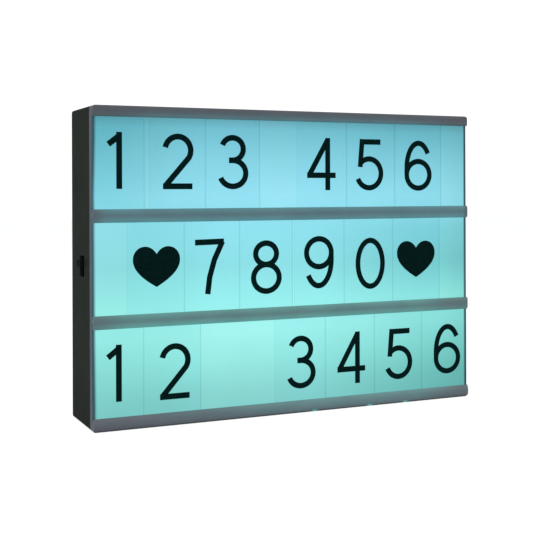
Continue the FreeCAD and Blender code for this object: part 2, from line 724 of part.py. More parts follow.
def contact_plate(side, x_wall, first_row, last_row):
    x0, x1 = sorted((side * x_wall, side * (x_wall + CONTACT_T)))
    z0 = cell_z(first_row) - CONTACT_H / 2.0
    z1 = cell_z(last_row) + CONTACT_H / 2.0
    return block(x0, x1, CELL_Y - CONTACT_W / 2.0, CELL_Y + CONTACT_W / 2.0, z0, z1)


def contact_plates():
    # Bridges join two rows, single plates end the chain
    last = CELL_ROWS - 1
    solids = []
    for side in (-1.0, 1.0):
        solids.append(contact_plate(side, DIVIDER_T / 2.0, 0, 0))
        solids.append(contact_plate(side, DIVIDER_T / 2.0, 1, last))
        solids.append(contact_plate(side, BAY_HALF_X - CONTACT_T, 0, last - 1))
        solids.append(contact_plate(side, BAY_HALF_X - CONTACT_T, last, last))
    return Part.makeCompound(solids)


def spring_coil():
    # A tapered coil about Z that starts at z = 0 and narrows as it rises
    corners = []
    for i in range(SPRING_TURNS * SPRING_SIDES + 1):
        turned = i / SPRING_SIDES
        r = SPRING_BASE_R - SPRING_TAPER * turned
        a = 2.0 * math.pi * turned
        corners.append(V(r * math.cos(a), r * math.sin(a), SPRING_PITCH * turned))
    return wire_solid(SPRING_WIRE_R, corners)


def contact_springs():
    solids = []
    for side in (-1.0, 1.0):
        for row in range(CELL_ROWS):
            outward = nub_outward(side, row)
            x_plate = DIVIDER_T / 2.0 + CONTACT_T if outward else BAY_HALF_X - CONTACT_T
            direction = side if outward else -side
            foot = V(side * x_plate + direction * (SPRING_WIRE_R - SPRING_SINK), CELL_Y, cell_z(row))
            solids.append(placed(spring_coil(), foot, V(direction, 0, 0)))
    return Part.makeCompound(solids)


def battery_door():
    plate = block(-DOOR_HALF_X, DOOR_HALF_X, DOOR_IN_Y, BACK_Y, HINGE_Z, DOOR_Z1)
    edge = rod_x(DOOR_T / 2.0, -DOOR_HALF_X, DOOR_HALF_X, HINGE_Y, HINGE_Z)
    shapes = [plate, edge]
    for x in (-DOOR_TAB_X, DOOR_TAB_X):
        a = x - DOOR_TAB_W / 2.0
        b = x + DOOR_TAB_W / 2.0
        shapes.append(block(a, b, HINGE_Y - DOOR_TAB_T, HINGE_Y, HINGE_Z - DOOR_TAB_DROP, HINGE_Z))
    half_nib = LATCH_W / 2.0 - LATCH_NIB_INSET
    shapes.append(block(-half_nib, half_nib, DOOR_IN_Y, HINGE_Y, DOOR_Z1, DOOR_Z1 + LATCH_NIB))
    door = joined(shapes)
    for x0 in (-LATCH_W / 2.0 - LATCH_SLIT, LATCH_W / 2.0):
        door = door.cut(block(x0, x0 + LATCH_SLIT, DOOR_IN_Y, BACK_Y, DOOR_Z1 - LATCH_SLIT_LEN, DOOR_Z1))
    half_grip = LATCH_W / 2.0 - GRIP_INSET_X
    groove_y = BACK_Y - GRIP_GROOVE_DEPTH
    for i in range(GRIP_RIBS):
        z1 = DOOR_Z1 - GRIP_INSET_Z - i * GRIP_RIB_PITCH
        door = door.cut(block(-half_grip, half_grip, groove_y, BACK_Y, z1 - GRIP_GROOVE_H, z1))
    return door


# Switch
def switch_frame():
    x1 = FRAME_X + SWITCH_FRAME_T
    frame = block_at(FRAME_X, x1, SWITCH_Y, SWITCH_FRAME_Y, SWITCH_Z, SWITCH_EAR_Z)
    window_y = KNOB_STEM_Y + 2.0 * SWITCH_FIT
    window_z = KNOB_STEM_Z + KNOB_TRAVEL + 2.0 * SWITCH_FIT
    frame = frame.cut(block_at(FRAME_X, x1, SWITCH_Y, window_y, SWITCH_Z, window_z))
    for side in (-1.0, 1.0):
        z = SWITCH_Z + side * SWITCH_SCREW_DZ
        frame = frame.cut(rod_x(SWITCH_SCREW_R + SCREW_HOLE_GAP, FRAME_X, x1, SWITCH_Y, z))
    return frame


def switch_body():
    x0 = FRAME_X + SWITCH_FRAME_T
    s = SWITCH_SHELL_T
    room_y = SWITCH_BODY_Y - 2.0 * s
    room_z = SWITCH_BODY_Z - 2.0 * s
    body = block_at(x0, SWITCH_PIN_X, SWITCH_Y, SWITCH_BODY_Y, SWITCH_Z, SWITCH_BODY_Z)
    return body.cut(block_at(x0, SWITCH_PIN_X - s, SWITCH_Y, room_y, SWITCH_Z, room_z))


def switch_pins():
    x0 = SWITCH_PIN_X
    x1 = x0 + SWITCH_PIN_LEN
    zs = (SWITCH_Z - SWITCH_PIN_DZ, SWITCH_Z + SWITCH_PIN_DZ)
    return Part.makeCompound([block_at(x0, x1, SWITCH_Y, SWITCH_PIN_T, z, SWITCH_PIN_T) for z in zs])


def switch_knob():
    z = KNOB_REST_Z
    x_out = -HALF_W - KNOB_OUT
    x_head = FRAME_X - SWITCH_FIT
    x_foot = FRAME_X + SWITCH_FRAME_T + SWITCH_FIT
    head = block_at(x_out, x_head, SWITCH_Y, KNOB_Y, z, KNOB_Z)
    outer_edges = [e for e in head.Edges if all(abs(v.X - x_out) < 1e-6 for v in e.Vertexes)]
    head = head.makeFillet(KNOB_EDGE_R, outer_edges)
    stem = block_at(x_head, x_foot, SWITCH_Y, KNOB_STEM_Y, z, KNOB_STEM_Z)
    foot = block_at(x_foot, x_foot + KNOB_FOOT_T, SWITCH_Y, KNOB_FOOT_Y, z, KNOB_Z)
    knob = joined([head, stem, foot])
    pitch = KNOB_Y / (KNOB_GRIPS + 1)
    for i in range(KNOB_GRIPS):
        y = SWITCH_Y - KNOB_Y / 2.0 + (i + 1) * pitch
        knob = knob.cut(block_at(x_out, x_out + KNOB_GRIP_DEPTH, y, KNOB_GRIP_W, z, KNOB_Z))
    return knob


# Screws
def pan_screw(shank_r, shank_len, head_r, head_t):
    # Head on the +Z side of z = 0, shank below it
    head = Part.makeCylinder(head_r, head_t)
    crown = [e for e in head.Edges if e.Closed and abs(e.Vertexes[0].Z - head_t) < 1e-6]
    head = head.makeFillet(head_t * HEAD_CROWN, crown)
    screw = joined([head, Part.makeCylinder(shank_r, shank_len, V(0, 0, -shank_len))])
    arm = head_r * CROSS_ARM
    width = head_r * CROSS_WIDTH
    depth = head_t * CROSS_DEPTH
    for a, b in ((arm, width), (width, arm)):
        screw = screw.cut(block(-a, a, -b, b, head_t - depth, head_t))
    return screw


def placed(shape, at, direction):
    out = shape.copy()
    out.Placement = FreeCAD.Placement(at, FreeCAD.Rotation(V(0, 0, 1), direction))
    return out


def case_screws():
    screw = pan_screw(CASE_SHANK_R, CASE_SHANK_LEN, CASE_HEAD_R, CASE_HEAD_T)
    return Part.makeCompound([placed(screw, V(x, WELL_SEAT_Y, z), V(0, 1, 0)) for x, z in CASE_SCREW_SPOTS])


def board_screws():
    screw = pan_screw(BOARD_SCREW_R, BOARD_SCREW_LEN, BOARD_HEAD_R, BOARD_HEAD_T)
    return Part.makeCompound([placed(screw, V(x, BOARD_FRONT_Y, z), V(0, -1, 0)) for x, z in BOARD_SCREWS])


def switch_screws():
    screw = pan_screw(SWITCH_SCREW_R, SWITCH_SCREW_LEN, SWITCH_SCREW_HEAD_R, SWITCH_SCREW_HEAD_T)
    x = FRAME_X + SWITCH_FRAME_T
    spots = [V(x, SWITCH_Y, SWITCH_Z + side * SWITCH_SCREW_DZ) for side in (-1.0, 1.0)]
    return Part.makeCompound([placed(screw, spot, V(1, 0, 0)) for spot in spots])


# Control board and inlet
def control_board():
    board = block(BOARD_X0, BOARD_X1, BOARD_FRONT_Y, BOARD_BACK_Y, BOARD_Z0, BOARD_Z1)
    for x, z in BOARD_SCREWS:
        board = board.cut(rod_y(BOARD_SCREW_R + SCREW_HOLE_GAP, BOARD_FRONT_Y, BOARD_BACK_Y, x, z))
    return board


def on_board(spot, width, height, thick):
    x0 = BOARD_X0 + spot[0] - width / 2.0
    z0 = BOARD_Z0 + spot[1] - height / 2.0
    return block(x0, x0 + width, BOARD_FRONT_Y - thick, BOARD_FRONT_Y, z0, z0 + height)


def controller_chip():
    shapes = [on_board(CHIP_SPOT, CHIP_W, CHIP_H, CHIP_T)]
    reach = (CHIP_H + CHIP_LEG_LEN) / 2.0
    for i in range(CHIP_LEGS):
        x = CHIP_SPOT[0] + (i - (CHIP_LEGS - 1) / 2.0) * CHIP_LEG_PITCH
        for z in (CHIP_SPOT[1] - reach, CHIP_SPOT[1] + reach):
            shapes.append(on_board((x, z), CHIP_LEG_W, CHIP_LEG_LEN, CHIP_LEG_T))
    return joined(shapes)


def board_resistors():
    spots = [(RESISTOR_SPOT[0], RESISTOR_SPOT[1] + RESISTOR_PITCH * i) for i in range(RESISTOR_COUNT)]
    return Part.makeCompound([on_board(spot, RESISTOR_W, RESISTOR_H, RESISTOR_T) for spot in spots])


def board_capacitor():
    base = on_board(CAPACITOR_SPOT, CAPACITOR_BASE, CAPACITOR_BASE, CAPACITOR_BASE_T)
    x = BOARD_X0 + CAPACITOR_SPOT[0]
    z = BOARD_Z0 + CAPACITOR_SPOT[1]
    top = BOARD_FRONT_Y - CAPACITOR_H
    return joined([base, rod_y(CAPACITOR_R, top, BOARD_FRONT_Y - CAPACITOR_BASE_T, x, z)])


def inlet_outline(inset):
    w = INLET_W / 2.0 - inset
    h = INLET_H / 2.0 - inset
    c = INLET_CORNER
    return [
        (INLET_X - w, INLET_Z + h), (INLET_X - w, INLET_Z - h + c), (INLET_X - w + c, INLET_Z - h),
        (INLET_X + w - c, INLET_Z - h), (INLET_X + w, INLET_Z - h + c), (INLET_X + w, INLET_Z + h),
    ]


def inlet_shell():
    mouth = BACK_Y - INLET_RECESS
    outer = prism_y(inlet_outline(0.0), BOARD_BACK_Y, mouth)
    return outer.cut(prism_y(inlet_outline(INLET_SHEET), BOARD_BACK_Y + INLET_FLOOR, mouth))


def inlet_tongue():
    y0 = BOARD_BACK_Y + INLET_FLOOR
    z0 = INLET_Z + TONGUE_LIFT
    return block(INLET_X - TONGUE_W / 2.0, INLET_X + TONGUE_W / 2.0, y0, y0 + TONGUE_LEN, z0, z0 + TONGUE_H)


# Leads
def strip_lead(level, which):
    x = STRIP_PAD_XS[which]
    z = STRIP_ZS[level]
    x_end = BOARD_X0 + STRIP_LEAD_PAD_X + LEAD_PITCH * which
    z_end = BOARD_Z1 - STRIP_LEAD_PAD_Z if level == "upper" else BOARD_Z0 + STRIP_LEAD_PAD_Z
    return wire_solid(LEAD_R, [
        V(x, STRIP_Y, z), V(x, LEAD_Y, z), V(x_end, LEAD_Y, z_end), V(x_end, BOARD_FRONT_Y, z_end),
    ])


def switch_lead(which):
    x = SWITCH_PIN_X + SWITCH_PIN_LEN
    z = SWITCH_Z + SWITCH_PIN_DZ * (2 * which - 1)
    x_end = BOARD_X0 + SWITCH_LEAD_PAD_X
    z_end = BOARD_Z0 + SWITCH_LEAD_PAD_Z + SWITCH_LEAD_PITCH * which
    return wire_solid(LEAD_R, [
        V(x, SWITCH_Y, z), V(x + LEAD_TURN, SWITCH_Y, z), V(x + LEAD_TURN, LEAD_Y, z),
        V(x_end, LEAD_Y, z_end), V(x_end, BOARD_FRONT_Y, z_end),
    ])


def battery_lead(which):
    z = cell_z(CELL_ROWS - 1 if which == 0 else 0)
    x_turn = -BAY_HALF_X - BAY_WALL - BATTERY_LEAD_OUT - BATTERY_LEAD_STEP * which
    x_end = BOARD_X0 + BATTERY_LEAD_PAD_X - LEAD_PITCH * which
    z_rise = BOARD_Z0 - BATTERY_LEAD_BELOW_BOARD
    z_end = BOARD_Z0 + BATTERY_LEAD_PAD_Z
    return wire_solid(LEAD_R, [
        V(-BAY_HALF_X, CELL_Y, z), V(x_turn, CELL_Y, z), V(x_end, LEAD_Y, z_rise),
        V(x_end, LEAD_Y, z_end), V(x_end, BOARD_FRONT_Y, z_end),
    ])


def main():
    os.makedirs("parts", exist_ok=True)
    save("rear_housing", rear_housing())
    save("front_panel", front_panel())
    save("top_rail", top_rail())
    save("upper_rail", middle_rail(UPPER_RAIL_Z, STUD_ZS["upper"]))
    save("lower_rail", middle_rail(LOWER_RAIL_Z, STUD_ZS["lower"]))
    save("bottom_rail", bottom_rail())
    for row in TILE_SPACES:
        for i, span in enumerate(tile_spans(row)):
            save("tile_" + row + "_" + str(i + 1), tile(row, span))
    save("reflector_plate", reflector_plate())
    for level, z in STRIP_ZS.items():
        save("light_strip_" + level, light_strip(z))
        save("leds_" + level, leds(z))
        save("lead_" + level + "_red", strip_lead(level, 0))
        save("lead_" + level + "_black", strip_lead(level, 1))
    save("battery_door", battery_door())
    save("cells_left", cells(-1.0))
    save("cells_right", cells(1.0))
    save("contact_plates", contact_plates())
    save("contact_springs", contact_springs())
    save("switch_frame", switch_frame())
    save("switch_body", switch_body())
    save("switch_pins", switch_pins())
    save("switch_knob", switch_knob())
    save("case_screws", case_screws())
    save("board_screws", board_screws())
    save("switch_screws", switch_screws())
    save("control_board", control_board())
    save("controller_chip", controller_chip())
    save("board_resistors", board_resistors())
    save("board_capacitor", board_capacitor())
    save("inlet_shell", inlet_shell())
    save("inlet_tongue", inlet_tongue())
    save("lead_switch_red", switch_lead(0))
    save("lead_switch_black", switch_lead(1))
    save("lead_battery_red", battery_lead(0))
    save("lead_battery_black", battery_lead(1))


main()
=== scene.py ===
import math

import bmesh
import bpy
from mathutils import Matrix, Vector
from mathutils.geometry import delaunay_2d_cdt

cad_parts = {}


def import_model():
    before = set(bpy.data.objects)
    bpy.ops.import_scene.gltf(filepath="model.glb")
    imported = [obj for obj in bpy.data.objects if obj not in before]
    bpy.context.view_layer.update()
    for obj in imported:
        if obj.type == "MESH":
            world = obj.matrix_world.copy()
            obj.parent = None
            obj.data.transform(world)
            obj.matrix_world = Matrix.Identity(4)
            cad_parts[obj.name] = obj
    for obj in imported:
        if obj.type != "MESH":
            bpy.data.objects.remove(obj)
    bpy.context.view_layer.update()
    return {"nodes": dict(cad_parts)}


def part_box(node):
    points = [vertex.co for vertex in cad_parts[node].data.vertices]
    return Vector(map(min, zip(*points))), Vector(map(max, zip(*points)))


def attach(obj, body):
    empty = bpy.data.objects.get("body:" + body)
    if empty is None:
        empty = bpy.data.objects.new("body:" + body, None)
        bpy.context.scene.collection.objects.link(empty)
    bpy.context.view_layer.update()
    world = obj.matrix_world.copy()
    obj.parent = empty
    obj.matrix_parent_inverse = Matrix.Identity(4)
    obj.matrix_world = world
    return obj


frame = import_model()

MM = 0.001
NODES = frame["nodes"]
WHITE = (1.0, 1.0, 1.0, 1.0)

# Camera: place and nearest sight in metres, turns in degrees, lens and sensor in mm.
# It looks level, and the shift brings the object into its frame.
EYE = (-0.32957, -0.7138, 0.16073)
YAW = 24.284
ROLL = -0.196
LENS = 69.897
SENSOR = 36.0
SHIFT_Y = -0.14215
NEAREST = 0.01

# Lamps: place and size in metres, power in watts. All of them point at AIM.
AIM = (0.0, 0.0, 0.1)
LAMPS = {
    "key": ((-1.1, -1.6, 1.7), 1.6, 26.0),
    "fill": ((1.7, -1.0, 1.1), 1.4, 12.0),
    "back": ((0.6, 1.8, 1.4), 1.4, 12.0),
}
ROOM_COLOUR = (0.93, 0.96, 1.0, 1.0)
ROOM_LEVEL = 0.62

# Backdrop and floor: the level at which the camera sees them, where 1 is white, the share of that
# white in the floor, and the floor's size and drop in metres
BACKDROP_LEVEL = 1.1
FLOOR_LEVEL = 1.12
FLOOR_SHARE = 0.8
FLOOR_HALF = 6.0
FLOOR_DROP = 0.0002

# Characters on the tiles, in mm: width of a stroke, height of a digit, size of a heart,
# gap to the tile and thickness of the print
INK_W = 4.1
INK_H = 38.6
HEART_W = 34.0
HEART_H = 27.9
INK_GAP = 0.02
INK_T = 0.03
LOW = INK_W / 2.0
TOP = INK_H - INK_W / 2.0

# How finely curves are cut: degrees to a step of an arc, and steps to a curve of the heart
ARC_STEP = 7.5
HEART_STEPS = 10

# Each character: what it is, its middle and foot in mm from the rails' left end and the ground,
# and how far it leans in degrees
CHARACTERS = {
    "tile_top_1": ("1", 16.7, 163.5, 0.0),
    "tile_top_2": ("2", 60.7, 163.2, 0.0),
    "tile_top_3": ("3", 102.2, 163.1, 0.0),
    "tile_top_4": ("4", 172.7, 162.3, 0.0),
    "tile_top_5": ("5", 213.1, 162.0, 0.0),
    "tile_top_6": ("6", 255.8, 161.7, 0.0),
    "tile_middle_1": ("heart", 45.0, 96.1, 0.0),
    "tile_middle_2": ("7", 84.8, 89.6, 1.2),
    "tile_middle_3": ("8", 127.7, 87.8, 0.6),
    "tile_middle_4": ("9", 170.0, 90.0, 0.0),
    "tile_middle_5": ("0", 213.3, 87.9, 0.0),
    "tile_middle_6": ("heart", 253.6, 95.3, 0.0),
    "tile_bottom_1": ("1", 16.0, 19.6, 0.0),
    "tile_bottom_2": ("2", 58.1, 18.1, 0.0),
    "tile_bottom_3": ("3", 155.4, 17.6, 0.0),
    "tile_bottom_4": ("4", 197.2, 17.9, 0.0),
    "tile_bottom_5": ("5", 238.2, 18.1, 0.0),
    "tile_bottom_6": ("6", 281.7, 19.2, 0.0),
}

# Lit front. Places up the front are shares of its height, from its foot.
# The glow's colour, how much of the fade to the right each height takes, how far the glow starts in
# from its left edge in mm, and how deep it goes into the sheet in mm
PANEL_GLOW = (
    (0.02, (131, 207, 203)), (0.09, (137, 216, 211)), (0.20, (154, 238, 231)), (0.28, (165, 247, 242)),
    (0.37, (160, 247, 243)), (0.50, (147, 229, 234)), (0.60, (149, 231, 243)), (0.72, (155, 231, 248)),
    # The stops at 0.935 and 0.965 darken the glow just under the top rail: a painted shadow of the rail
    (0.84, (137, 214, 230)), (0.935, (117, 195, 211)), (0.965, (103, 171, 185)),
)
PANEL_FADE = (
    (0.10, 1.0), (0.25, 0.78), (0.37, 0.58), (0.48, 1.0),
    (0.60, 0.85), (0.68, 0.3), (0.80, 0.3), (0.95, 0.5),
)
PANEL_INSET = ((0.08, 0.95), (0.27, 0.58), (0.65, 0.32), (0.72, 0.1), (0.80, 0.55), (0.90, 1.0))
FRONT_DEPTH = 0.4

# Rails: greys up the height from the foot, the colour of the light from behind, what the lower and
# the upper edge add to it, then its level at the left end, the run in mm over which it gets to its
# full level, and the same at the right end
# The rails are one plastic: their greys, darker on the higher rails and changing up each rail, are painted
# light and shade
RAILS = {
    "top_rail": {
        "greys": ((76, 84, 88), (75, 76, 82), (80, 79, 83)),
        "glow": (16, 50, 54), "low": 1.7, "high": -0.7, "left": (0.15, 60.0), "right": (0.12, 70.0),
    },
    "upper_rail": {
        "greys": ((82, 88, 92), (80, 84, 91), (82, 88, 91)),
        "glow": (18, 70, 74), "low": 1.4, "high": 0.9, "left": (0.3, 10.0), "right": (0.2, 5.0),
    },
    "lower_rail": {
        "greys": ((88, 92, 94), (85, 87, 92), (88, 90, 91)),
        "glow": (26, 88, 84), "low": 1.2, "high": 0.8, "left": (0.45, 26.0), "right": (0.5, 60.0),
    },
    "bottom_rail": {
        "greys": ((90, 89, 98), (91, 90, 98), (92, 93, 98)),
        "glow": (30, 82, 78), "low": -0.5, "high": 0.6, "left": (0.1, 170.0), "right": (0.3, 50.0),
    },
}

# Chinks under the cover that let spots of light out at the foot: their places across the front, how
# far aside and up a spot fades out and is full, all in mm, and its level
LEAKS = (15.5, 62.0, 93.0)
LEAK_ASIDE = (3.5, 0.5)
LEAK_UP = (2.2, 0.6)
LEAK_LEVEL = 4.0

# How far noise is taken to stray from its middle of 0.5: in most uses, and in a surface's grain
STRAY = 0.2
GRAIN_STRAY = 0.25

# Samples that a softened edge takes, and how alike the true and softened normals are on an open
# face and where it has turned
BEVEL_SAMPLES = 4
OPEN_FACE = 0.999
TURNED_FACE = 0.85


def srgb(r, g, b):
    # A screen colour, 0 to 255, as the linear colour that a shader takes
    def linear(v):
        v = v / 255.0
        return v / 12.92 if v <= 0.04045 else ((v + 0.055) / 1.055) ** 2.4
    return (linear(r), linear(g), linear(b), 1.0)


def box_mm(name):
    # The low and high corners of a node's box
    return [[v / MM for v in corner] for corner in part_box(name)]


# Node shorthand
class Nodes:
    """A node tree being built, with short calls for the nodes used here."""

    def __init__(self, tree):
        self.tree = tree

    def node(self, kind, **settings):
        made = self.tree.nodes.new(kind)
        for key, value in settings.items():
            setattr(made, key, value)
        return made

    def put(self, value, socket):
        if isinstance(value, bpy.types.NodeSocket):
            self.tree.links.new(value, socket)
        else:
            socket.default_value = value

    def math(self, operation, a, b=0.0):
        made = self.node("ShaderNodeMath", operation=operation)
        self.put(a, made.inputs[0])
        self.put(b, made.inputs[1])
        return made.outputs[0]

    def times(self, product, *others):
        for other in others:
            product = self.math("MULTIPLY", product, other)
        return product

    def share(self, value, low, high):
        # How far value has come from low to high, as a share of the way
        return self.math("DIVIDE", self.math("SUBTRACT", value, low), high - low)

    def span(self, value, low, high, to_low=0.0, to_high=1.0):
        # value from low to high becomes to_low to to_high, smoothly and no further
        made = self.node("ShaderNodeMapRange", interpolation_type="SMOOTHSTEP")
        for key, number in zip(("Value", "From Min", "From Max", "To Min", "To Max"),
                               (value, low, high, to_low, to_high)):
            self.put(number, made.inputs[key])
        return made.outputs["Result"]

    def vary(self, noise, low, high, stray=STRAY):
        # From low to high as noise wanders
        return self.span(noise, 0.5 - stray, 0.5 + stray, low, high)

    def ramp(self, value, stops):
        # stops are (place from 0 to 1, colour)
        made = self.node("ShaderNodeValToRGB")
        elements = made.color_ramp.elements
        while len(elements) < len(stops):
            elements.new(0.5)
        for element, (position, colour) in zip(elements, stops):
            element.position = position
            element.color = colour
        self.put(value, made.inputs["Fac"])
        return made.outputs["Color"]

    def levels(self, value, stops):
        # A ramp of plain numbers from 0 to 1
        return self.ramp(value, [(position, (level,) * 4) for position, level in stops])

    def mix(self, factor, a, b, blend="MIX"):
        made = self.node("ShaderNodeMix", data_type="RGBA", blend_type=blend)
        self.put(factor, made.inputs[0])
        self.put(a, made.inputs[6])
        self.put(b, made.inputs[7])
        return made.outputs[2]

    def scaled(self, colour, factor):
        # colour times a plain number or value
        made = self.node("ShaderNodeVectorMath", operation="SCALE")
        self.put(colour if isinstance(colour, bpy.types.NodeSocket) else colour[:3], made.inputs[0])
        self.put(factor, made.inputs["Scale"])
        return made.outputs[0]

    def split(self, vector):
        made = self.node("ShaderNodeSeparateXYZ")
        self.put(vector, made.inputs[0])
        return tuple(made.outputs)

    def mix_shader(self, factor, a, b):
        made = self.node("ShaderNodeMixShader")
        self.put(factor, made.inputs["Fac"])
        self.put(a, made.inputs[1])
        self.put(b, made.inputs[2])
        return made.outputs[0]

    def backdrop_rays(self):
        # 1 for the rays that show the backdrop: from the camera, and on from gloss or through glass
        rays = self.node("ShaderNodeLightPath").outputs
        found = rays["Is Camera Ray"]
        for kind in ("Is Glossy Ray", "Is Transmission Ray"):
            found = self.math("MAXIMUM", found, rays[kind])
        return found


class Finish(Nodes):
    """A material being built, with its main shader and calls that work in the frame's places."""

    def __init__(self, name):
        self.material = bpy.data.materials.new(name)
        self.material.use_nodes = True
        super().__init__(self.material.node_tree)
        self.shader = self.tree.nodes["Principled BSDF"]
        self.place = self.node("ShaderNodeTexCoord").outputs["Object"]

    def set(self, **values):
        for key, value in values.items():
            self.put(value, self.shader.inputs[key.replace("_", " ")])

    def show(self, shader):
        self.put(shader, self.tree.nodes["Material Output"].inputs["Surface"])

    def axes(self):
        # The frame's X, Y and Z at each point, in mm
        return self.split(self.scaled(self.place, 1.0 / MM))

    def noise(self, size, detail=3.0, stretch=(1.0, 1.0, 1.0)):
        # Noise whose cells are about size mm across, longer along an axis where stretch is over 1
        mapping = self.node("ShaderNodeMapping")
        self.put(self.place, mapping.inputs["Vector"])
        self.put([1.0 / (size * MM * s) for s in stretch], mapping.inputs["Scale"])
        made = self.node("ShaderNodeTexNoise")
        self.put(1.0, made.inputs["Scale"])
        self.put(detail, made.inputs["Detail"])
        self.put(mapping.outputs[0], made.inputs["Vector"])
        return made.outputs["Fac"]

    def bevel(self, radius):
        # The normal as it would be with edges rounded to radius mm
        made = self.node("ShaderNodeBevel", samples=BEVEL_SAMPLES)
        self.put(radius * MM, made.inputs["Radius"])
        return made.outputs[0]

    def bump(self, height, depth, edge=0.0):
        # depth in mm; edge is the radius in mm that sharp edges are softened by
        made = self.node("ShaderNodeBump")
        self.put(depth * MM, made.inputs["Distance"])
        self.put(height, made.inputs["Height"])
        if edge:
            self.put(self.bevel(edge), made.inputs["Normal"])
        self.put(made.outputs[0], self.shader.inputs["Normal"])

    def edges(self, radius):
        # 0 on open faces, 1 where a face turns a corner within radius mm
        alike = self.node("ShaderNodeVectorMath", operation="DOT_PRODUCT")
        self.put(self.bevel(radius), alike.inputs[0])
        self.put(self.node("ShaderNodeNewGeometry").outputs["Normal"], alike.inputs[1])
        return self.span(alike.outputs["Value"], OPEN_FACE, TURNED_FACE)


def plain_finish(name, colour, rough, metal=0.0, grain=0.5, depth=0.02, drift=0.12,
                 stretch=(1.0, 1.0, 1.0), edge=0.0):
    """A moulded, painted or metal surface: its colour drifts, and its grain moves sheen and relief."""
    drift_size = 18.0
    rough_drift = 0.07
    f = Finish(name)
    shade = f.vary(f.noise(drift_size, detail=2.0), 1.0 - drift, 1.0 + drift)
    relief = f.noise(grain, stretch=stretch)
    f.set(Base_Color=f.scaled(srgb(*colour), shade), Metallic=metal,
          Roughness=f.vary(relief, rough - rough_drift, rough + rough_drift, GRAIN_STRAY))
    f.bump(relief, depth, edge)
    return f.material


# Case
def housing_finish():
    edge_lightening = 0.3
    darkened_to = 60.0
    f = Finish("housing_black")
    grain = f.noise(0.45, detail=4.0)
    tone = f.ramp(f.noise(26.0), [(0.3, srgb(29, 34, 28)), (0.55, srgb(33, 38, 32)),
                                  (0.75, srgb(36, 41, 34))])
    # Lighter along every edge, where the faces turn
    tone = f.mix(f.times(f.edges(0.5), edge_lightening), tone, srgb(62, 66, 62))
    # Darker towards the foot
    _, _, z = f.axes()
    f.set(Base_Color=f.scaled(tone, f.span(z, 0.0, darkened_to, 0.82, 1.0)), Specular_IOR_Level=0.021,
          Roughness=f.vary(grain, 0.62, 0.8, GRAIN_STRAY))
    f.bump(grain, depth=0.03, edge=0.25)
    return f.material


def knob_finish():
    f = Finish("knob_black")
    grain = f.noise(0.35)
    worn = f.times(f.edges(0.12), f.noise(2.5))
    f.set(Base_Color=f.mix(worn, srgb(16, 20, 22), srgb(34, 37, 38)), Specular_IOR_Level=0.01,
          Roughness=f.vary(grain, 0.5, 0.7, GRAIN_STRAY))
    f.bump(grain, depth=0.01, edge=0.1)
    return f.material


# Lit front
def panel_glow(f, x, height, x0, x1):
    """The light of the frosted sheet: sky blue at the top to sea green below, weaker to the right, and
    darker just under the top rail, where the rail's shadow is painted in.

    x0 and x1 are the ends of the front in mm."""
    right_half = (-10.0, x1)
    right_end = (x1 - 24.0, x1 - 3.0)
    left_part = (x0 + 95.0, x0 + 35.0)
    left_corner = (x0 + 60.0, x0)
    upper_part = (0.6, 0.75)
    glow = f.ramp(height, [(position, srgb(*colour)) for position, colour in PANEL_GLOW])
    # The light fades away from the strips: each of these places takes its tint
    for where, tint in (
        (f.times(f.span(x, *right_half), f.levels(height, PANEL_FADE)), (0.61, 0.75, 0.73, 1.0)),
        (f.span(x, *right_end), (0.92, 0.93, 0.92, 1.0)),
        (f.span(x, *left_part), (0.9, 0.93, 0.91, 1.0)),
        (f.times(f.span(x, *left_corner), f.span(height, *upper_part)), (0.8, 0.92, 0.93, 1.0)),
    ):
        glow = f.mix(where, glow, tint, "MULTIPLY")
    cloud = f.vary(f.noise(34.0, detail=4.0), 0.952, 0.98)
    return f.scaled(glow, cloud)


def cover_tone(f, height):
    # The cover's walls around the glow, a little purple at the top and the foot
    near_top = (0.85, 0.97)
    near_foot = (0.12, 0.03)
    patches = f.noise(6.0, stretch=(1.0, 1.0, 4.0))
    tone = f.ramp(patches, [(0.3, srgb(75, 78, 85)), (0.7, srgb(83, 85, 92))])
    ends = f.math("ADD", f.span(height, *near_top), f.span(height, *near_foot))
    return f.mix(ends, tone, srgb(87, 83, 90))


def diffuser_finish():
    """Front cover: a sheet lit from behind, and walls that a little stray light tints."""
    stray_light = 0.5
    f = Finish("diffuser")
    x, y, z = f.axes()
    (x0, y0, z0), (x1, y1, z1) = box_mm("front_panel")
    left_rim = (x0 - 0.2, x0 + 2.4)
    right_rim = (x1 - 1.0, x1 - 2.8)
    left_wall = (x0 + 4.0, x0 + 2.0)
    height = f.share(z, z0, z1)
    # The glow dies out in the rim, where the sheet turns back into the cover's walls
    inset_x = f.math("SUBTRACT", x, f.levels(height, PANEL_INSET))
    inside = f.times(f.span(inset_x, *left_rim), f.span(x, *right_rim))
    front = f.span(y, y0 + FRONT_DEPTH, y0)
    lit = f.times(inside, front)
    wall_glow = f.times(f.span(y, y1, y0), f.span(x, *left_wall), stray_light)
    # Outside the glow the front is a dim teal: painted light, the backlight that still gets through the
    # sheet there
    base = f.mix(lit, f.mix(front, cover_tone(f, height), srgb(52, 72, 82)), srgb(24, 30, 32))
    light = f.mix(lit, f.scaled(srgb(20, 62, 70), wall_glow), panel_glow(f, x, height, x0, x1))
    sheen = f.noise(0.25)
    f.set(Base_Color=base, Specular_IOR_Level=0.045, Roughness=f.vary(sheen, 0.5, 0.66, GRAIN_STRAY),
          Emission_Color=light, Emission_Strength=1.0)
    f.bump(sheen, depth=0.006, edge=0.2)
    return f.material


def leaking(f, x, z, light):
    # Light at the foot: none at the very edge, and a spot at each chink
    above_edge = (0.4, 1.8)
    light = f.times(light, f.span(z, *above_edge))
    for leak_x in LEAKS:
        aside = f.math("ABSOLUTE", f.math("SUBTRACT", x, leak_x))
        spot = f.times(f.span(aside, *LEAK_ASIDE), f.span(z, *LEAK_UP), LEAK_LEVEL)
        light = f.math("ADD", light, spot)
    return light


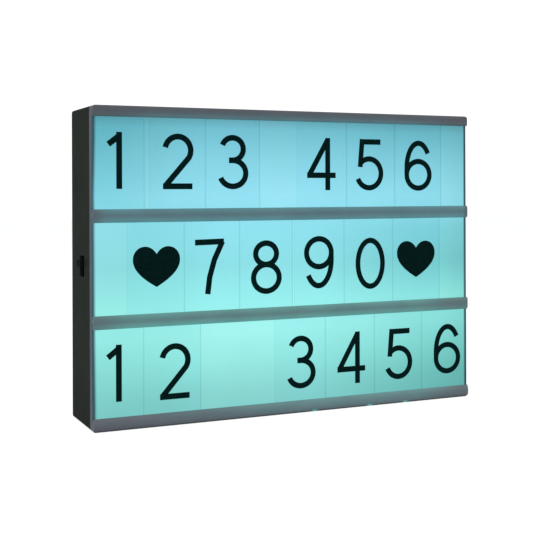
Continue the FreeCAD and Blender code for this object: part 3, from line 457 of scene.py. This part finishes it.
def rail_finish(name, greys, glow, low, high, left, right):
    """Translucent rail: greys with the room's light and shade painted in, and the panel's glow coming
    through it.
    """
    lower_part = (0.0, 0.55)
    upper_part = (0.45, 1.0)
    in_shadow = (0.3, 1.5)
    f = Finish(name)
    x, _, z = f.axes()
    (x0, _, z0), (x1, _, z1) = box_mm(name)
    height = f.share(z, z0, z1)
    # Painted light and shade: this rail's greys up its height
    grey = f.ramp(height, [(i / (len(greys) - 1.0), srgb(*tone)) for i, tone in enumerate(greys)])
    streaks = f.noise(16.0, stretch=(1.6, 1.0, 0.6))
    grey = f.scaled(grey, f.vary(streaks, 0.95, 1.05))
    edges = f.math("ADD", f.span(height, *upper_part, 0.0, high), f.span(height, *lower_part, low, 0.0))
    left_level, left_run = left
    right_level, right_run = right
    along = f.times(f.span(x, x0, x0 + left_run, left_level, 1.0),
                    f.span(x, x1 - right_run, x1, 1.0, right_level))
    patches = f.noise(21.0, detail=2.0, stretch=(1.0, 1.0, 0.5))
    light = f.times(f.math("ADD", edges, 1.0), along, f.vary(patches, 0.9, 1.08))
    if name == "bottom_rail":
        # Its lower edge stays in its own shadow
        grey = f.scaled(grey, f.span(z, *in_shadow, 0.1, 1.0))
        light = leaking(f, x, z, light)
    grain = f.noise(0.5, stretch=(5.0, 1.0, 1.0))
    f.set(Base_Color=grey, Specular_IOR_Level=0.12, Roughness=f.vary(grain, 0.38, 0.52, GRAIN_STRAY),
          Emission_Color=srgb(*glow), Emission_Strength=light)
    f.bump(grain, depth=0.008, edge=0.3)
    return f.material


def film_finish():
    """Clear film: it dims the panel a little, and its cut edges show as fine dark lines."""
    # Where the lines lie, as shares of a tile's width
    right_cut = (0.985, 0.9935)
    left_cut = (0.012, 0.004)
    left_cut_level = 0.35
    f = Finish("tile_film")
    across = f.split(f.node("ShaderNodeTexCoord").outputs["Generated"])[0]
    line = f.math("ADD", f.span(across, *right_cut), f.span(across, *left_cut, 0.0, left_cut_level))
    clear = f.node("ShaderNodeBsdfTransparent")
    f.put(f.mix(line, (0.964, 0.99, 0.998, 1.0), (0.84, 0.89, 0.9, 1.0)), clear.inputs["Color"])
    scuffs = f.noise(1.2, detail=4.0)
    f.set(Base_Color=srgb(70, 92, 96), Specular_IOR_Level=0.25, Roughness=f.vary(scuffs, 0.18, 0.34))
    f.bump(f.noise(9.0, detail=2.0), depth=0.02)
    f.show(f.mix_shader(f.span(scuffs, 0.4, 0.75, 0.004, 0.016), clear.outputs[0], f.shader.outputs[0]))
    return f.material


def ink_finish():
    # Dense screen ink; a little of the panel's light still comes through
    f = Finish("ink")
    cover = f.noise(1.6, detail=4.0)
    f.set(Base_Color=f.ramp(cover, [(0.35, srgb(1, 7, 7)), (0.7, srgb(3, 12, 12))]),
          Specular_IOR_Level=0.01, Roughness=f.vary(cover, 0.45, 0.6),
          Emission_Color=srgb(2, 19, 19), Emission_Strength=f.vary(cover, 0.8, 1.15))
    f.bump(f.noise(0.3), depth=0.004)
    return f.material


# Inside and back
def strip_finish():
    # White solder mask with the weave of the board just showing
    f = Finish("strip_board")
    weave = f.noise(0.5, detail=2.0, stretch=(3.0, 1.0, 1.0))
    grain = f.noise(0.4)
    f.set(Base_Color=f.mix(f.span(weave, 0.55, 0.7, 0.0, 0.25), srgb(230, 230, 224), srgb(204, 205, 196)),
          Roughness=f.vary(grain, 0.35, 0.49, GRAIN_STRAY))
    f.bump(grain, depth=0.01)
    return f.material


def led_finish():
    # White package around a round phosphor window, which lies a little deeper than its frame
    window_depth = 0.25
    blur = 0.11
    f = Finish("led")
    _, y, _ = f.axes()
    window = box_mm("leds_upper")[0][1] + window_depth
    phosphor = f.span(y, window, window + blur)
    speckle = f.noise(0.3)
    yellow = f.ramp(speckle, [(0.35, srgb(222, 196, 92)), (0.65, srgb(236, 214, 120))])
    f.set(Base_Color=f.mix(phosphor, srgb(240, 240, 234), yellow), Roughness=f.vary(speckle, 0.3, 0.45),
          Emission_Color=f.mix(phosphor, srgb(120, 200, 205), srgb(175, 246, 244)), Emission_Strength=0.9)
    f.bump(speckle, depth=0.01, edge=0.12)
    return f.material


def cell_finish():
    """Plain jacket: a pale grey body with a darker band at the button end, and bare steel ends."""
    rows = 3
    blur = 0.2
    # Ends of the button's end, the band and the jacket, along a cell from its button
    button_to, band_to, jacket_to = 1.4, 11.5, 49.8
    f = Finish("cell_jacket")
    x, _, z = f.axes()
    (near, _, z0), (far, _, z1) = box_mm("cells_right")
    across = f.math("ABSOLUTE", x)
    # Neighbouring cells lie head to tail: 1 where the button points away from the middle of the case
    from_middle = f.math("ABSOLUTE", f.math("SUBTRACT", z, (z0 + z1) / 2.0))
    half_row = (z1 - z0) / rows / 2.0
    middle_row = f.span(from_middle, half_row, half_row - blur / 2.0)
    right_bay = f.span(x, -blur / 2.0, blur / 2.0)
    outward = f.math("ABSOLUTE", f.math("SUBTRACT", right_bay, middle_row))
    outer = f.times(outward, f.math("SUBTRACT", far, across))
    inner = f.times(f.math("SUBTRACT", 1.0, outward), f.math("SUBTRACT", across, near))
    from_button = f.math("ADD", outer, inner)
    band = f.span(from_button, band_to, band_to - blur)
    bare = f.math("MAXIMUM", f.span(from_button, button_to, button_to - blur),
                  f.span(from_button, jacket_to, jacket_to + blur))
    body = f.ramp(f.noise(9.0), [(0.3, srgb(140, 146, 148)), (0.7, srgb(154, 159, 161))])
    jacket = f.mix(band, body, srgb(88, 94, 99))
    brushed = f.noise(0.6, stretch=(30.0, 1.0, 1.0))
    f.set(Base_Color=f.mix(bare, jacket, srgb(188, 188, 186)), Metallic=bare,
          Roughness=f.vary(brushed, 0.26, 0.4))
    f.bump(brushed, depth=0.01, edge=0.3)
    return f.material


def board_finish():
    """Solder mask over runs of copper track."""
    fields_per_metre = 260.0
    f = Finish("board_green")
    fields = f.node("ShaderNodeTexVoronoi", feature="DISTANCE_TO_EDGE", distance="MANHATTAN")
    f.put(fields_per_metre, fields.inputs["Scale"])
    f.put(f.place, fields.inputs["Vector"])
    track = f.span(fields.outputs["Distance"], 0.1, 0.06)
    weave = f.noise(0.35, detail=2.0)
    mask = f.ramp(weave, [(0.3, srgb(16, 74, 44)), (0.7, srgb(22, 86, 52))])
    f.set(Base_Color=f.mix(f.times(track, 0.7), mask, srgb(48, 124, 70)),
          Roughness=f.vary(weave, 0.28, 0.42))
    f.bump(track, depth=0.02)
    return f.material


def capacitor_finish():
    # Bare can with a dark mark on one side of its end and a dark foot
    foot_height = 1.1
    mark_width = 2.0
    blur = 0.1
    f = Finish("capacitor_can")
    x, y, _ = f.axes()
    (x0, y0, _), (_, y1, _) = box_mm("board_capacitor")
    foot = f.span(y, y1 - foot_height, y1 - foot_height + blur)
    mark = f.times(f.span(x, x0 + mark_width, x0 + mark_width - blur), f.span(y, y0 + blur, y0 + blur / 2.0))
    dark = f.math("MAXIMUM", foot, mark)
    brushed = f.noise(0.3, detail=2.0, stretch=(8.0, 1.0, 1.0))
    f.set(Base_Color=f.mix(dark, srgb(206, 206, 208), srgb(22, 22, 24)),
          Metallic=f.math("SUBTRACT", 1.0, dark), Roughness=f.vary(brushed, 0.24, 0.4))
    f.bump(brushed, depth=0.005, edge=0.15)
    return f.material


def finishes():
    """Material for each node name or start of a node name."""
    housing = housing_finish()
    table = {name: rail_finish(name, **look) for name, look in RAILS.items()}
    table.update({
        "rear_housing": housing,
        "battery_door": housing,
        "front_panel": diffuser_finish(),
        "tile_": film_finish(),
        "reflector_plate": plain_finish("reflector_white", (236, 238, 237), 0.7, grain=0.8, depth=0.015,
                                        drift=0.03),
        "light_strip_": strip_finish(),
        "leds_": led_finish(),
        "lead_": plain_finish("lead_black", (24, 24, 25), 0.4, grain=0.8, depth=0.01, drift=0.1),
        "cells_": cell_finish(),
        "contact_": plain_finish("nickel", (196, 192, 184), 0.3, metal=1.0, grain=0.3, depth=0.006,
                                 drift=0.06, stretch=(1.0, 1.0, 9.0)),
        "switch_body": plain_finish("switch_black", (24, 24, 26), 0.5),
        "switch_knob": knob_finish(),
        "switch_": plain_finish("switch_steel", (104, 104, 106), 0.46, metal=1.0, grain=0.3, depth=0.006,
                                stretch=(1.0, 8.0, 1.0)),
        "case_screws": plain_finish("screw_steel", (150, 150, 150), 0.34, metal=1.0, grain=0.4,
                                    depth=0.008, edge=0.1),
        "board_screws": plain_finish("board_screw_steel", (164, 164, 162), 0.32, metal=1.0, grain=0.4,
                                     depth=0.008),
        "control_board": board_finish(),
        "controller_chip": plain_finish("chip_black", (26, 26, 28), 0.55, grain=0.25, depth=0.01),
        "board_resistors": plain_finish("resistor", (48, 47, 52), 0.5, grain=0.3, depth=0.01),
        "board_capacitor": capacitor_finish(),
        "inlet_shell": plain_finish("inlet_steel", (186, 186, 184), 0.28, metal=1.0, grain=0.3,
                                    depth=0.005, stretch=(6.0, 1.0, 1.0)),
        "inlet_tongue": plain_finish("inlet_black", (18, 18, 20), 0.5, grain=0.3, depth=0.01),
    })
    return table


def dress_nodes():
    red = plain_finish("lead_red", (176, 34, 30), 0.4, grain=0.8, depth=0.01, drift=0.08)
    table = finishes()
    for name, node in NODES.items():
        key = max((k for k in table if name.startswith(k)), key=len)
        material = red if name.endswith("_red") else table[key]
        if not node.material_slots:
            node.data.materials.append(material)
        for slot in node.material_slots:
            slot.material = material


# Characters: strokes are centre lines in mm, from the middle of the foot of each character
def arc(cx, cz, rx, rz, start, end):
    # Points round (cx, cz) from start to end, in degrees
    steps = max(2, int(round(abs(end - start) / ARC_STEP)))
    turns = [math.radians(start + (end - start) * i / steps) for i in range(steps + 1)]
    return [(cx + rx * math.cos(t), cz + rz * math.sin(t)) for t in turns]


def oval(low, high, rx):
    # Closed round, from one height to another
    return arc(0.0, (low + high) / 2.0, rx, (high - low) / 2.0, 0.0, 360.0)


def three():
    waist = TOP - 16.0
    start = (-3.4, waist)
    upper = arc(-0.6, TOP - 8.0, 8.2, 8.0, 160.0, -90.0)
    lower = arc(-0.4, (waist + LOW) / 2.0, 9.9, (waist - LOW) / 2.0, 90.0, -160.0)
    return [upper + [start], [start] + lower]


def four():
    bar = 11.0
    return [[(4.8, 0.0), (4.8, INK_H)], [(4.4, TOP), (-10.4, bar + 0.2)], [(-12.2, bar), (11.4, bar)]]


def five():
    bowl = 12.9
    return [[(9.4, TOP), (-8.2, TOP)], [(-6.4, INK_H), (-8.2, 17.6)],
            arc(-0.6, bowl, 10.3, bowl - LOW, 138.0, -158.0)]


def six():
    bowl = 12.3
    shoulder = 17.5
    side = 10.2
    curl = arc(0.3, shoulder, side + 0.3, TOP - shoulder, 36.0, 180.0)
    return [curl + [(-side, bowl)], oval(LOW, 2.0 * bowl - LOW, side)]


def eight():
    waist = 21.2
    return [oval(waist, TOP, 8.2), oval(LOW, waist, 10.1)]


DIGITS = {
    "0": [oval(LOW, TOP, 10.6)],
    "1": [[(2.0, 0.0), (2.0, INK_H)], [(2.0, TOP - 0.6), (-5.6, TOP - 6.4)]],
    "2": [arc(0.0, TOP - 9.6, 9.4, 9.6, 168.0, -32.0) + [(-9.0, LOW + 0.6)], [(-11.0, LOW), (10.6, LOW)]],
    "3": three(),
    "4": four(),
    "5": five(),
    "6": six(),
    "7": [[(-11.0, TOP), (10.8, TOP)], [(9.6, TOP), (3.2, 24.0), (-0.6, 12.0), (-2.4, 0.0)]],
    "8": eight(),
    "9": [[(-x, INK_H - z) for x, z in stroke] for stroke in six()],
}


def ribbon(points, corners, faces):
    # Adds the four-sided pieces of a stroke as wide as the ink; the pieces meet in mitred joints
    same_place = 1e-6
    sharpest = 0.5
    line = [Vector(p) for p in points]
    closed = (line[0] - line[-1]).length < same_place
    sides = []
    for i, point in enumerate(line):
        before = line[i - 1] if i else (line[-2] if closed else None)
        after = line[i + 1] if i < len(line) - 1 else (line[1] if closed else None)
        ends = [p for p in (before, point, after) if p is not None]
        runs = [(b - a).normalized() for a, b in zip(ends, ends[1:])]
        along = sum(runs, Vector((0.0, 0.0))).normalized()
        across = Vector((-along.y, along.x))
        reach = INK_W / 2.0 / max(sharpest, along.dot(runs[0]))
        sides.append((point + across * reach, point - across * reach))
    for (a, b), (c, d) in zip(sides, sides[1:]):
        start = len(corners)
        corners += [b, d, c, a]
        faces.append([start, start + 1, start + 2, start + 3])


def bezier(a, b, c, d):
    # Points from a up to, but without, d
    points = []
    for i in range(HEART_STEPS):
        t = i / HEART_STEPS
        points.append(a * (1 - t) ** 3 + b * 3 * t * (1 - t) ** 2 + c * 3 * t * t * (1 - t) + d * t ** 3)
    return points


def heart_outline():
    # The left half from the cleft round to the point, then its mirror image, as curves of four points
    half = HEART_W / 2.0
    stops = [(0.0, -5.1), (2.2, -1.8), (5.0, 0.0), (8.4, 0.0), (13.2, 0.0), (half, -3.9), (half, -9.1),
             (half, -16.5), (9.5, -22.5), (0.0, -HEART_H)]
    left = [Vector((-x, z + HEART_H)) for x, z in stops]
    right = [Vector((x, z + HEART_H)) for x, z in reversed(stops)]
    points = []
    for side in (left, right):
        for k in range(0, len(side) - 1, 3):
            points += bezier(*side[k:k + 4])
    return points


def flat_shape(character):
    # Joins the strokes into one sheet of triangles that don't overlap
    inside_only = 1
    same_place = 1e-5
    corners = []
    faces = []
    if character == "heart":
        corners = heart_outline()
        faces = [list(range(len(corners)))]
    else:
        for stroke in DIGITS[character]:
            ribbon(stroke, corners, faces)
    verts, _, triangles, _, _, sources = delaunay_2d_cdt(corners, [], faces, inside_only, same_place)
    return verts, [triangle for triangle, source in zip(triangles, sources) if source]


def ink_piece(tile, character, x, z, tilt, material):
    """A printed character just in front of its tile."""
    verts, triangles = flat_shape(character)
    y_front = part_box(tile)[0][1]
    rail_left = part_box("bottom_rail")[0][0]
    turn = Matrix.Rotation(math.radians(tilt), 2)
    bm = bmesh.new()
    made = []
    for v in verts:
        p = turn @ Vector(v)
        made.append(bm.verts.new((rail_left + (x + p.x) * MM, y_front - INK_GAP * MM, (z + p.y) * MM)))
    for triangle in triangles:
        bm.faces.new([made[i] for i in triangle])
    back = bmesh.ops.extrude_face_region(bm, geom=bm.faces[:])
    moved = [g for g in back["geom"] if isinstance(g, bmesh.types.BMVert)]
    bmesh.ops.translate(bm, verts=moved, vec=(0.0, -INK_T * MM, 0.0))
    bmesh.ops.recalc_face_normals(bm, faces=bm.faces[:])
    piece = mesh_object("ink_" + tile[len("tile_"):], bm)
    piece.data.materials.append(material)
    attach(piece, tile)


def print_characters():
    ink = ink_finish()
    for tile, (character, x, z, tilt) in CHARACTERS.items():
        ink_piece(tile, character, x, z, tilt, ink)


# Room
def scene_object(name, data):
    made = bpy.data.objects.new(name, data)
    bpy.context.scene.collection.objects.link(made)
    return made


def mesh_object(name, bm):
    mesh = bpy.data.meshes.new(name)
    bm.to_mesh(mesh)
    bm.free()
    return scene_object(name, mesh)


def camera():
    data = bpy.data.cameras.new("view")
    data.lens = LENS
    data.sensor_width = SENSOR
    data.shift_y = SHIFT_Y
    data.clip_start = NEAREST
    made = scene_object("view", data)
    level = Matrix.Rotation(math.radians(-YAW), 4, "Z") @ Matrix.Rotation(math.radians(90.0), 4, "X")
    made.matrix_world = Matrix.Translation(EYE) @ level @ Matrix.Rotation(math.radians(ROLL), 4, "Z")
    bpy.context.scene.camera = made


def world():
    scene = bpy.context.scene
    scene.view_settings.view_transform = "Standard"
    scene.world = bpy.data.worlds.new("studio")
    scene.world.use_nodes = True
    n = Nodes(scene.world.node_tree)
    room = n.tree.nodes["Background"]
    backdrop = n.node("ShaderNodeBackground")
    for shader, colour, level in ((room, ROOM_COLOUR, ROOM_LEVEL), (backdrop, WHITE, BACKDROP_LEVEL)):
        n.put(colour, shader.inputs["Color"])
        n.put(level, shader.inputs["Strength"])
    mixed = n.mix_shader(n.backdrop_rays(), room.outputs[0], backdrop.outputs[0])
    n.put(mixed, n.tree.nodes["World Output"].inputs["Surface"])


def softbox(name, place, size, power):
    data = bpy.data.lights.new(name, "AREA")
    data.size = size
    data.energy = power
    made = scene_object(name, data)
    made.location = place
    made.rotation_euler = (Vector(AIM) - Vector(place)).to_track_quat("-Z", "Y").to_euler()


def floor():
    """Plain pale floor that the camera sees as white, with the object's shadow kept on it."""
    bm = bmesh.new()
    bmesh.ops.create_grid(bm, x_segments=1, y_segments=1, size=FLOOR_HALF)
    made = mesh_object("floor", bm)
    made.location = (0.0, 0.0, -FLOOR_DROP)
    f = Finish("floor")
    tone = f.levels(f.noise(400.0, detail=2.0), [(0.0, 0.80), (1.0, 0.84)])
    f.set(Base_Color=tone, Roughness=0.9, Specular_IOR_Level=0.0)
    bright = f.node("ShaderNodeEmission")
    f.put(FLOOR_LEVEL, bright.inputs["Strength"])
    f.show(f.mix_shader(f.times(f.backdrop_rays(), FLOOR_SHARE), f.shader.outputs[0], bright.outputs[0]))
    made.data.materials.append(f.material)


camera()
world()
for lamp, (place, size, power) in LAMPS.items():
    softbox(lamp, place, size, power)
floor()
dress_nodes()
print_characters()
